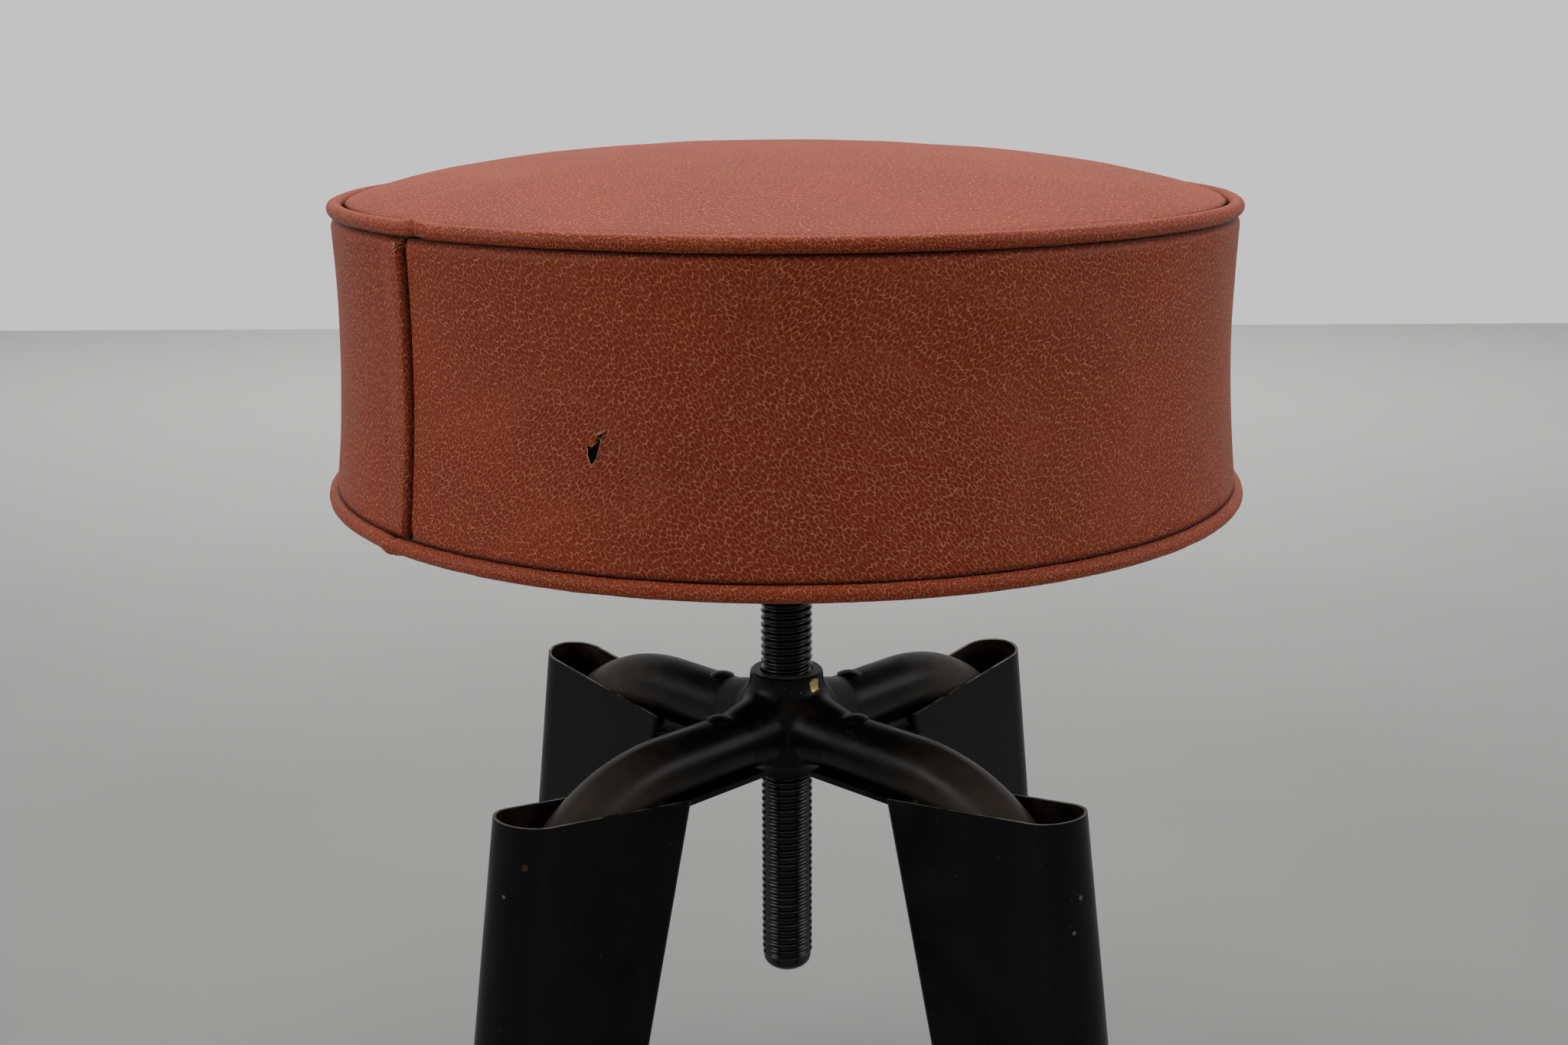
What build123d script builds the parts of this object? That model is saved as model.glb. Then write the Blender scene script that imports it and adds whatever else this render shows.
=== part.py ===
from build123d import *
from math import atan2, cos, degrees, hypot, radians, sin, tan
import os

# A screw stool: a thick round cushion on a threaded spindle, in a base of four bent tubes that run down
# inside folded sheet legs. Millimetres, +Z up, origin on the floor under the spindle, front towards -Y.

# Seat, at the height shown
seat_height = 517.2        # floor to the middle of the crown
seat_radius = 180.0        # outside of the top piping
seat_foot_flare = 5.5      # outside of the bottom piping beyond the top piping's
band_height = 112.2        # between the centres of the two pipings
piping_radius = 2.8
crown_rise = 22.0          # middle of the crown above the top piping's centre
shoulder_set_in = 40.0     # where the crown turns down into its shoulder, inside the top piping's outside
shoulder_fall = 9.9        # how far the crown has dropped there
shoulder_meets = 150.0     # degrees round the piping at which the top cover ends
band_set_in = 1.0          # band's upper edge, inside the top piping's outside
band_foot_set_in = 3.2     # band's lower edge, inside the bottom piping's outside
band_waist = 2.5           # how far the band is drawn in between its edges
cover_thickness = 1.4
upholstery_gap = 0.3

# Underside of the seat
board_thickness = 12.0
board_lift = -0.5          # underside of the board against the bottom piping's centre
piping_flange_width = 22.0
piping_flange_thickness = 1.5
dust_cover_thickness = 1.0
dust_cover_set_in = 8.0    # edge of the dust cover inside the board's edge
tack_count = 24
tack_set_in = 6.0          # tacks inside the dust cover's edge
tack_head_radius = 4.0
tack_head_height = 1.0
tack_shank_radius = 0.9
tack_length = 9.0

# Seat plate with its boss, screws and cross pin
plate_radius = 70.0
plate_thickness = 4.0
plate_hole_gap = 1.0       # between the plate's rim and the dust cover
boss_wall = 8.0
boss_depth = 20.0
plate_screw_count = 6
plate_screw_set_in = 12.0
plate_screw_radius = 2.2
plate_screw_length = 14.0
plate_screw_head_radius = 4.2
plate_screw_head_height = 2.6
cross_pin_radius = 2.5
cross_pin_overhang = 1.0
cross_pin_share = 0.5      # place of the pin along the boss

# Spindle
thread_diameter = 22.0
thread_pitch = 3.175
thread_depth = 1.2
neck_radius = 9.0
spindle_drop = 227.0       # spindle's tip below the bottom piping's centre
tip_rise = 6.0             # height of the domed tip

# Hub, its grease felt and its braze
screw_lift = 87.0          # bottom piping's centre above the hub's top
hub_height = 45.0
hub_wall = 4.3
hub_chamfer = 0.8
running_clearance = 0.3
felt_width = 1.7
felt_height = 4.0
felt_recess = 0.5
braze_radius = 21.5
braze_rise = 4.0           # braze above and below the tubes
braze_cheek = 8.0          # half the height of the braze's upright side
braze_hollow_out = 1.475   # middle of the hollow flank, out from the hub
braze_hollow_up = 3.4      # middle of the hollow flank, up from the upright side

# Arms
tube_radius = 12.5
tube_wall = 2.0
arm_drop = 24.9            # arm's axis below the hub's top
arm_straight = 71.7        # spindle's axis to the start of the bend
bend_radius = 80.0
tube_tail = 110.0          # straight tube below the bend, inside the leg

# Legs
leg_splay = 8.5            # degrees, the leg's round nose
inner_splay = 14.4         # degrees, the leg's inner edge
leg_sheet = 1.2
tube_fit = 0.15            # between the tube and the leg's nose
rim_drop = 0.6             # rim below the arm's axis, at the nose's axis
rim_reach = 73.5           # nose's axis to the inner edge, along the rim
fold_radius = 3.0
lip_width = 8.0
lip_drop = 9.0             # lips start this far below the rim

# Straps and rivets
strap_thickness = 2.5
strap_side_gap = 0.2       # between the strap's edges and the leg's folds
strap_back_gap = 0.1
strap_bend = 6.0
strap_tail = 60.0          # strap below its bend, inside the leg
strap_hub_gap = 2.5        # between the strap's end and the braze
rivet_place = 40.0         # rivet from the spindle's axis
rivet_radius = 3.0
rivet_fit = 0.1
rivet_head_radius = 5.4
rivet_head_height = 1.5

# Feet
foot_height = 8.0
foot_lip = 1.5
foot_plug = 22.0
foot_fit = 0.2

# Heights worked out from those sizes
bottom_piping_z = seat_height - crown_rise - band_height
top_piping_z = bottom_piping_z + band_height
hub_top = bottom_piping_z - screw_lift
hub_bottom = hub_top - hub_height
arm_z = hub_top - arm_drop
board_bottom = bottom_piping_z + board_lift
board_top = board_bottom + board_thickness
boss_bottom = board_bottom - plate_thickness - boss_depth
spindle_tip = bottom_piping_z - spindle_drop

# Radii worked out from those sizes
seat_foot_radius = seat_radius + seat_foot_flare
shoulder_radius = seat_radius - shoulder_set_in
thread_radius = thread_diameter / 2
hub_bore = thread_radius + running_clearance
hub_radius = hub_bore + hub_wall
boss_radius = neck_radius + boss_wall
top_piping_r = seat_radius - piping_radius
bottom_piping_r = seat_foot_radius - piping_radius
piping_seat = piping_radius + upholstery_gap
board_radius = bottom_piping_r - piping_seat
dust_cover_radius = board_radius - dust_cover_set_in
tack_circle = dust_cover_radius - tack_set_in
plate_screw_circle = plate_radius - plate_screw_set_in
nose_radius = tube_radius + tube_fit + leg_sheet

# Leg lines in the upright plane through one arm, as radius from the spindle and height
splay_tan = tan(radians(leg_splay))
inner_tan = tan(radians(inner_splay))
bend_end = (
    arm_straight + bend_radius * cos(radians(leg_splay)),
    arm_z - bend_radius * (1 - sin(radians(leg_splay))),
)
rim_nose = (bend_end[0] - (arm_z - rim_drop - bend_end[1]) * splay_tan, arm_z - rim_drop)
rim_inner = (
    rim_nose[0] - rim_reach * cos(radians(leg_splay)),
    rim_nose[1] - rim_reach * sin(radians(leg_splay)),
)
spare = 2 * tube_radius    # how far cutting shapes run past what they cut

# Direction of each leg, in degrees from +X
leg_directions = {"front_left": -135, "front_right": -45, "rear_right": 45, "rear_left": 135}


def spun(edges):
    """Solid turned about the spindle's axis from a closed outline of radius and height."""
    return revolve(Plane.XZ * make_face(edges), Axis.Z)


def ring(outer, inner, low, high):
    """Flat ring or bush between two heights; an inner radius of 0 gives a disc."""
    outline = Polyline((inner, low), (outer, low), (outer, high), (inner, high), close=True)
    return spun(outline.edges())


def upright_slab(points, half_width):
    """Slab of an outline in the plane of one arm, as wide on both sides of that plane."""
    return extrude(Plane.XZ * make_face(Polyline(*points, close=True).edges()), half_width, both=True)


def round_pattern(piece, count):
    """Copies of a piece at even steps about the spindle's axis."""
    return [Rot(0, 0, 360 / count * i) * piece for i in range(count)]


def cap_arc(radius, height, base):
    """Quarter outline of a shallow ball cap that rises, or with a negative height hangs, from a base."""
    ball = (radius**2 + height**2) / (2 * abs(height))
    rim_angle = degrees(atan2(ball - abs(height), radius))
    if height > 0:
        return CenterArc((0, base + height - ball), ball, rim_angle, 90 - rim_angle)
    return CenterArc((0, base + height + ball), ball, -90, 90 - rim_angle)


def dome(radius, height):
    """Rivet head, flat side down at height 0."""
    return spun([Line((0, height), (0, 0)), Line((0, 0), (radius, 0)), cap_arc(radius, height, 0)])


# Crown: a shallow dome of one radius and a shoulder arc that runs on from it to the top piping
dome_radius = (shoulder_radius**2 + shoulder_fall**2) / (2 * shoulder_fall)
dome_centre = (0.0, top_piping_z + crown_rise - dome_radius)
shoulder_start = (shoulder_radius, top_piping_z + crown_rise - shoulder_fall)
cover_end = (
    top_piping_r + piping_seat * cos(radians(shoulder_meets)),
    top_piping_z + piping_seat * sin(radians(shoulder_meets)),
)
inward = (
    (dome_centre[0] - shoulder_start[0]) / dome_radius,
    (dome_centre[1] - shoulder_start[1]) / dome_radius,
)
across = (cover_end[0] - shoulder_start[0], cover_end[1] - shoulder_start[1])
shoulder_bend = hypot(*across) ** 2 / (2 * (across[0] * inward[0] + across[1] * inward[1]))
shoulder_centre = (
    shoulder_start[0] + inward[0] * shoulder_bend,
    shoulder_start[1] + inward[1] * shoulder_bend,
)
dome_angle = degrees(atan2(-inward[1], -inward[0]))
shoulder_angle = degrees(atan2(cover_end[1] - shoulder_centre[1], cover_end[0] - shoulder_centre[0]))


def crown(depth):
    """Dome and shoulder arcs at a depth below the crown's surface."""
    shoulder_turn = dome_angle - shoulder_angle
    dome_arc = CenterArc(dome_centre, dome_radius - depth, dome_angle, 90 - dome_angle)
    shoulder_arc = CenterArc(shoulder_centre, shoulder_bend - depth, shoulder_angle, shoulder_turn)
    return [dome_arc, shoulder_arc]


def crown_edge(depth):
    """Where the shoulder arc ends, at a depth below the crown's surface."""
    reach = shoulder_bend - depth
    turn = radians(shoulder_angle)
    return (shoulder_centre[0] + reach * cos(turn), shoulder_centre[1] + reach * sin(turn))


def crown_top(depth):
    return (0.0, top_piping_z + crown_rise - depth)


# Band: one waisted arc from the top piping to the bottom piping
band_top = (seat_radius - band_set_in, top_piping_z - piping_seat)
band_foot = (seat_foot_radius - band_foot_set_in, bottom_piping_z + piping_seat)
band_middle = ((band_top[0] + band_foot[0]) / 2 - band_waist, (band_top[1] + band_foot[1]) / 2)


def band_arc(depth):
    """Band's arc at a depth inside its surface, with its upper and lower ends."""
    upper, middle, lower = [(r - depth, z) for r, z in (band_top, band_middle, band_foot)]
    return ThreePointArc(upper, middle, lower), upper, lower


def make_top_cover():
    outer, inner = crown(0), crown(cover_thickness)
    middle = Line(crown_top(cover_thickness), crown_top(0))
    hem = Line(crown_edge(0), crown_edge(cover_thickness))
    return spun(outer + inner + [middle, hem])


def make_side_band():
    outer, outer_upper, outer_lower = band_arc(0)
    inner, inner_upper, inner_lower = band_arc(cover_thickness)
    return spun([outer, inner, Line(outer_upper, inner_upper), Line(outer_lower, inner_lower)])


def make_foam():
    """Foam under the covers, with the hollow that the top piping lies in and a flat seat on the board."""
    depth = cover_thickness + upholstery_gap
    side, side_upper, side_lower = band_arc(depth)
    outline = crown(depth) + [
        Line(crown_edge(depth), side_upper),
        side,
        Line(side_lower, (0.0, side_lower[1])),
        Line((0.0, side_lower[1]), crown_top(depth)),
    ]
    section = make_face(outline) - Pos(top_piping_r, top_piping_z) * Circle(piping_seat)
    block = revolve(Plane.XZ * section, Axis.Z)
    return block - ring(seat_foot_radius, 0, bottom_piping_z - spare, board_top)


def make_piping(radius, height):
    return Pos(0, 0, height) * Torus(radius, piping_radius)


def make_bottom_piping():
    """Piping with the sewn flange that is tacked under the board."""
    flange_inside = board_radius - piping_flange_width
    flange_bottom = board_bottom - piping_flange_thickness
    flange = ring(bottom_piping_r, flange_inside, flange_bottom, board_bottom)
    return make_piping(bottom_piping_r, bottom_piping_z) + flange


# Tacks hang from the underside of the dust cover
dust_cover_top = board_bottom - piping_flange_thickness
dust_cover_bottom = dust_cover_top - dust_cover_thickness


def make_tacks():
    middle = dust_cover_bottom + tack_length / 2
    head = Pos(tack_circle, 0, dust_cover_bottom) * Rot(180, 0, 0) * dome(tack_head_radius, tack_head_height)
    shank = Pos(tack_circle, 0, middle) * Cylinder(tack_shank_radius, tack_length)
    return round_pattern(head + shank, tack_count)


def make_plate_screws():
    plate_bottom = board_bottom - plate_thickness
    middle = plate_bottom + plate_screw_length / 2
    head = Rot(180, 0, 0) * dome(plate_screw_head_radius, plate_screw_head_height)
    head = Pos(plate_screw_circle, 0, plate_bottom) * head
    shank = Pos(plate_screw_circle, 0, middle) * Cylinder(plate_screw_radius, plate_screw_length)
    return round_pattern(head + shank, plate_screw_count)


def make_cross_pin():
    height = boss_bottom + boss_depth * cross_pin_share
    length = 2 * (boss_radius + cross_pin_overhang)
    return Pos(0, 0, height) * Rot(0, 90, 0) * Cylinder(cross_pin_radius, length)


def make_seat_plate():
    plate = ring(plate_radius, neck_radius, board_bottom - plate_thickness, board_bottom)
    return plate + ring(boss_radius, neck_radius, boss_bottom, board_bottom)


def make_spindle():
    """Plain neck, a relief under the boss, the thread as rounded ridges at its pitch, and a domed tip."""
    root = thread_radius - thread_depth
    middle = thread_radius - thread_depth / 2
    thread_foot = spindle_tip + tip_rise
    turns = int((boss_bottom - thread_foot) / thread_pitch)
    thread_head = thread_foot + turns * thread_pitch
    outline = [
        Line((0, spindle_tip), (0, board_bottom)),
        Line((0, board_bottom), (neck_radius, board_bottom)),
        Line((neck_radius, board_bottom), (neck_radius, boss_bottom)),
        Line((neck_radius, boss_bottom), (middle, boss_bottom)),
        Line((middle, boss_bottom), (middle, thread_head)),
        cap_arc(middle, -tip_rise, thread_foot),
    ]
    for turn in range(turns):
        low = thread_foot + turn * thread_pitch
        half, high = low + thread_pitch / 2, low + thread_pitch
        outline.append(ThreePointArc((middle, low), (thread_radius, (low + half) / 2), (middle, half)))
        outline.append(ThreePointArc((middle, half), (root, (half + high) / 2), (middle, high)))
    return spun(outline)


# Felt in the hub's lower end
felt_bottom = hub_bottom + felt_recess
felt_top = felt_bottom + felt_height
felt_radius = hub_bore + felt_width


def make_hub():
    """Bush for the spindle, bored to clear the thread's crests, with a pocket for the felt."""
    bush = Pos(0, 0, hub_bottom + hub_height / 2) * Cylinder(hub_radius, hub_height)
    ends = bush.edges().filter_by(GeomType.CIRCLE)
    bush = chamfer(ends, hub_chamfer)
    bush -= ring(hub_bore, 0, hub_bottom, hub_top)
    return bush - ring(felt_radius + running_clearance, 0, hub_bottom, felt_top + running_clearance)


def make_felt():
    return ring(felt_radius, hub_bore, felt_bottom, felt_top)


def tube_along_arm(radius):
    """Solid rod along one arm: out from the spindle, round the bend and down the leg's nose."""
    lean = radians(leg_splay)
    tail = (bend_end[0] + tube_tail * sin(lean), bend_end[1] - tube_tail * cos(lean))
    out = Line((0, arm_z), (arm_straight, arm_z))
    bend = CenterArc((arm_straight, arm_z - bend_radius), bend_radius, leg_splay, 90 - leg_splay)
    down = Line(bend_end, tail)
    path = Plane.XZ * Wire([out.edge(), bend.edge(), down.edge()])
    return sweep(Plane((0, 0, arm_z), z_dir=(1, 0, 0)) * Circle(radius), path=path)


def make_rivet():
    """Rivet through one arm and its strap, its upper head hollowed to sit on the tube."""
    top = arm_z + tube_radius
    bottom = arm_z - tube_radius - strap_thickness
    sink = tube_radius - (tube_radius**2 - rivet_head_radius**2) ** 0.5
    skirt = Pos(0, 0, top - sink / 2) * Cylinder(rivet_head_radius, sink)
    tube = Pos(rivet_place, 0, arm_z) * Rot(0, 90, 0) * Cylinder(tube_radius, 2 * spare)
    upper = skirt + Pos(0, 0, top) * dome(rivet_head_radius, rivet_head_height)
    upper = Pos(rivet_place, 0, 0) * upper - tube
    lower = Pos(rivet_place, 0, bottom) * Rot(180, 0, 0) * dome(rivet_head_radius, rivet_head_height)
    shank = Pos(rivet_place, 0, (top + bottom) / 2) * Cylinder(rivet_radius, top - bottom)
    return upper + shank + lower


def rivet_hole():
    height = 2 * (tube_radius + strap_thickness + spare)
    return Pos(rivet_place, 0, arm_z) * Cylinder(rivet_radius + rivet_fit, height)


def make_arm():
    """Bent tube, coped round the hub and mitred against the arms beside it."""
    tube = tube_along_arm(tube_radius) - tube_along_arm(tube_radius - tube_wall)
    reach = 2 * (bend_end[0] + tube_tail)
    wedge = extrude(make_face(Polyline((0, 0), (reach, reach), (reach, -reach), close=True).edges()), reach)
    hub = Pos(0, 0, arm_z) * Cylinder(hub_radius, 2 * spare)
    return (tube & wedge) - hub - rivet_hole()


def make_braze(arm_rods):
    """Braze round the hub: hollow flanks above and below, cut away where the tubes pass."""
    high = tube_radius + braze_rise
    hollow = (hub_radius + braze_hollow_out, braze_cheek + braze_hollow_up)
    upper_flank = ThreePointArc((hub_radius, high), hollow, (braze_radius, braze_cheek))
    lower_flank = mirror(upper_flank, Plane.XZ)
    inside = Line((hub_radius, -high), (hub_radius, high))
    cheek = Line((braze_radius, braze_cheek), (braze_radius, -braze_cheek))
    bell = Pos(0, 0, arm_z) * spun([inside, upper_flank, cheek, lower_flank.edge()])
    for rod in arm_rods:
        bell -= rod
    return bell


def nose_at(height, beyond=0.0):
    """Point of the nose's axis at a height, moved out from the axis square to it."""
    shift = beyond / cos(radians(leg_splay))
    return (rim_nose[0] + (rim_nose[1] - height) * splay_tan + shift, height)


def inner_at(height, beyond=0.0):
    """Point of the leg's inner edge at a height, moved towards the spindle square to the edge."""
    shift = beyond / cos(radians(inner_splay))
    return (rim_inner[0] + (rim_inner[1] - height) * inner_tan - shift, height)


leg_top = arm_z + spare
leg_bottom = -spare


def leg_form(grow):
    """Whole leg, longer than it is cut, with its surface moved out by an amount."""
    half = nose_radius + grow
    top, bottom = nose_at(leg_top), nose_at(leg_bottom)
    length = hypot(top[0] - bottom[0], top[1] - bottom[1])
    middle = ((top[0] + bottom[0]) / 2, 0, (top[1] + bottom[1]) / 2)
    axis = Plane(middle, z_dir=(top[0] - bottom[0], 0, top[1] - bottom[1]))
    nose = axis * Cylinder(half, length)
    web = upright_slab([top, bottom, inner_at(leg_bottom, grow), inner_at(leg_top, grow)], half)
    along = Vector(inner_at(0)[0] - inner_at(1)[0], 0, -1).normalized()
    folds = [e for e in web.edges() if abs(abs((e % 0.5).dot(along)) - 1) < 1e-9]
    return fillet(folds, fold_radius + grow) + nose


def above_rim(drop):
    """Everything above a plane parallel to the leg's rim and below it by a distance."""
    lean = radians(leg_splay)
    foot = (rim_nose[0] + drop * sin(lean), rim_nose[1] - drop * cos(lean))
    size = 4 * (rim_reach + nose_radius + spare)
    block = Pos(0, 0, size / 2) * Box(size, size, size)
    return Pos(foot[0], 0, foot[1]) * Rot(0, -leg_splay, 0) * block


def below(height):
    size = 8 * (rim_reach + nose_radius)
    return Pos(bend_end[0], 0, height - size / 2) * Box(size, size, size)


def make_leg():
    """Folded sheet: round nose, flat flanks and two lips along the inner edge that leave a slot."""
    shell = leg_form(0) - leg_form(-leg_sheet)
    shell -= above_rim(0)
    shell -= below(foot_height)
    inner_half = nose_radius - leg_sheet
    edge_zone = [
        inner_at(leg_top, spare),
        inner_at(leg_bottom, spare),
        inner_at(leg_bottom, -fold_radius),
        inner_at(leg_top, -fold_radius),
    ]
    slot = upright_slab(edge_zone, nose_radius - lip_width)
    unfolded = upright_slab(edge_zone, inner_half) & above_rim(lip_drop)
    return shell - slot - unfolded


def make_strap():
    """Flat strap under the arm that bends down behind the leg's lips."""
    run_z = arm_z - tube_radius - strap_thickness / 2
    behind = -(leg_sheet + strap_back_gap + strap_thickness / 2)
    corner = inner_at(run_z, behind)
    start = (braze_radius + strap_hub_gap, run_z)
    end = inner_at(run_z - strap_tail, behind)
    path = Plane.XZ * FilletPolyline(start, corner, end, radius=strap_bend)
    width = 2 * (nose_radius - fold_radius - strap_side_gap)
    strip = sweep(Plane((start[0], 0, run_z), z_dir=(1, 0, 0)) * Rectangle(strap_thickness, width), path=path)
    return strip - rivet_hole()


def make_foot():
    """Rubber foot: a plug up inside the leg over a pad that the leg stands on."""
    pad = (leg_form(foot_lip) - below(0)) & below(foot_height)
    plug = (leg_form(-leg_sheet - foot_fit) - below(foot_height)) & below(foot_height + foot_plug)
    return pad + plug


# Seat, turning and rising as one
tacks = make_tacks()
plate_screws = make_plate_screws()
cross_pin = make_cross_pin()
board = ring(board_radius, 0, board_bottom, board_top)
dust_cover = ring(dust_cover_radius, plate_radius + plate_hole_gap, dust_cover_bottom, dust_cover_top)
bottom_piping = make_bottom_piping()
seat_plate = make_seat_plate() - cross_pin
for tack in tacks:
    board -= tack
    dust_cover -= tack
    bottom_piping -= tack
for screw in plate_screws:
    board -= screw
    seat_plate -= screw

nodes = {
    "spindle": make_spindle() - cross_pin,
    "seat_plate": seat_plate,
    "cross_pin": cross_pin,
    "plate_screws": Compound(plate_screws),
    "seat_board": board,
    "seat_foam": make_foam(),
    "top_cover": make_top_cover(),
    "side_band": make_side_band(),
    "top_piping": make_piping(top_piping_r, top_piping_z),
    "bottom_piping": bottom_piping,
    "dust_cover": dust_cover,
    "cover_tacks": Compound(tacks),
    "grease_felt": make_felt(),
    "hub_bush": make_hub(),
}

# Base: the same arm, leg, strap, rivet and foot four times round
rod = tube_along_arm(tube_radius)
arm, leg, strap, rivet, foot = make_arm(), make_leg(), make_strap(), make_rivet(), make_foot()
turns = {name: Rot(0, 0, direction) for name, direction in leg_directions.items()}
nodes["hub_braze"] = make_braze([turn * rod for turn in turns.values()])
nodes["arm_rivets"] = Compound([turn * rivet for turn in turns.values()])
for name, turn in turns.items():
    nodes[f"arm_{name}"] = turn * arm
    nodes[f"leg_{name}"] = turn * leg
    nodes[f"strap_{name}"] = turn * strap
    nodes[f"foot_{name}"] = turn * foot

os.makedirs("parts", exist_ok=True)
for name, shape in nodes.items():
    export_step(shape, f"parts/{name}.step")
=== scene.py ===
from itertools import accumulate
from math import asin, atan2, cos, exp, hypot, pi, radians, sin, sqrt, tan, tau

import bmesh
import bpy
from mathutils import Matrix, Vector, noise


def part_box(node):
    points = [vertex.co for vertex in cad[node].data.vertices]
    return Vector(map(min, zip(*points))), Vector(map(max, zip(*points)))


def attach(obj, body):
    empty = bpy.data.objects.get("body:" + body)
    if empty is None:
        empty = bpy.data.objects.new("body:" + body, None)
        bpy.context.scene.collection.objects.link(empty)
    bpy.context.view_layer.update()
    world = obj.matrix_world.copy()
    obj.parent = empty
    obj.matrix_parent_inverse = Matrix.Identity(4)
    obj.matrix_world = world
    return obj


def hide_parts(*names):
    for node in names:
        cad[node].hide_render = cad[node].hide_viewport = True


# Screw stool with a round leatherette cushion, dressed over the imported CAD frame.
# Metres, +Z up, front towards -Y.

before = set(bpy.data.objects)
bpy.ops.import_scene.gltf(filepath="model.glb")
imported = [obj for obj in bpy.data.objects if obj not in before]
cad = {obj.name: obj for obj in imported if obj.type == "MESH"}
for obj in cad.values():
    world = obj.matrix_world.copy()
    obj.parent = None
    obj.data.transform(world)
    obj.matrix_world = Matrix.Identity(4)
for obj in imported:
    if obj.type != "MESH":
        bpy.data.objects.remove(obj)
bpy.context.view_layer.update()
scene = bpy.context.scene
mm = 0.001


def round_sizes(node):
    """Outside radius, middle height and half height of a round CAD node."""
    low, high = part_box(node)
    return high.x, (low.z + high.z) / 2, (high.z - low.z) / 2


# Sizes read from the frame
seat_radius, top_seam_z, piping_radius = round_sizes("top_piping")
foot_radius, foot_seam_z, _ = round_sizes("bottom_piping")
top_seam_radius = seat_radius - piping_radius
foot_seam_radius = foot_radius - piping_radius
crown_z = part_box("top_cover")[1].z
band_low, band_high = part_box("side_band")
band_tall = band_high.z - band_low.z
hub_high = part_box("hub_bush")[1]
hub_radius = hub_high.x
spindle_low, spindle_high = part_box("spindle")

# Sizes that repeat the CAD model's
shoulder_set_in = 40.0 * mm
shoulder_fall = 9.9 * mm
band_set_in = 1.0 * mm
band_foot_set_in = 3.2 * mm
band_waist = 2.5 * mm
skirt_width = 22.0 * mm        # flange of the bottom piping, under the board
skirt_drop = 1.5 * mm
board_lift = -0.5 * mm
upholstery_gap = 0.3 * mm
lining_hole = 71.0 * mm
tack_count = 24
tack_set_in = 6.0 * mm
thread_pitch = 3.175 * mm
thread_depth = 1.2 * mm
thread_radius = 11.0 * mm
neck_radius = 9.0 * mm
tip_rise = 6.0 * mm
boss_drop = 24.0 * mm          # lower end of the boss below the board
felt_width = 1.7 * mm
tube_radius = 12.5 * mm
arm_z = hub_high.z - 24.9 * mm
leg_turns = [radians(angle) for angle in (-135, -45, 45, 135)]

# The leg's round nose in millimetres, as distance from the spindle at a height
nose_reach, nose_z, nose_slope = 140.72, 270.5, tan(radians(8.5))

# Upright seam of the band, at the left of the front
seam_turn = radians(-138.2)


# Small tools for meshes

def on_ring(radius, turn, height):
    return Vector((radius * cos(turn), radius * sin(turn), height))


def smooth_step(value, start, end):
    """0 before start, 1 after end, and an even S between them."""
    share = min(max((value - start) / (end - start), 0.0), 1.0)
    return share * share * (3 - 2 * share)


def near(value, reach):
    """1 at zero, falling off to nothing a few reaches away."""
    return exp(-(value / reach) ** 2)


def wobble(point, size, seed=0.0):
    """Even noise between about -1 and 1, with bumps of a given size."""
    return noise.noise(point / size + Vector((seed, 1.7 * seed, -seed)))


def turn_between(a, b):
    """Signed angle from b to a, the short way round."""
    return (a - b + pi) % tau - pi


def finish_piece(name, mesh, body, slot, *materials):
    piece = bpy.data.objects.new(name, mesh)
    scene.collection.objects.link(piece)
    for material in materials:
        mesh.materials.append(material)
    mesh.polygons.foreach_set("use_smooth", [True] * len(mesh.polygons))
    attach(piece, body)
    return piece


def wrapped_grid(name, rings, turns, place, chart):
    """Mesh of closed rings. place gives each point, and chart its texture coordinates in metres."""
    points = [place(i, j) for i in range(rings) for j in range(turns)]
    quads, corners = [], []
    for i in range(rings - 1):
        for j in range(turns):
            around = [(i, j), (i, j + 1), (i + 1, j + 1), (i + 1, j)]
            quads.append([ring * turns + step % turns for ring, step in around])
            corners += [chart(ring, step) for ring, step in around]
    mesh = bpy.data.meshes.new(name)
    mesh.from_pydata(points, [], quads)
    layer = mesh.uv_layers.new(name="surface")
    layer.data.foreach_set("uv", [value for corner in corners for value in corner])
    return mesh


def close_ends(mesh):
    """Fill the open rings at a mesh's ends."""
    shape = bmesh.new()
    shape.from_mesh(mesh)
    bmesh.ops.holes_fill(shape, edges=[edge for edge in shape.edges if edge.is_boundary])
    shape.to_mesh(mesh)
    shape.free()


# Small tools for materials

def srgb(red, green, blue):
    """Colour of a paint chip in 0 to 255, as the linear colour that shaders take."""
    def linear(value):
        value /= 255
        return value / 12.92 if value <= 0.04045 else ((value + 0.055) / 1.055) ** 2.4
    return (linear(red), linear(green), linear(blue), 1.0)


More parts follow.
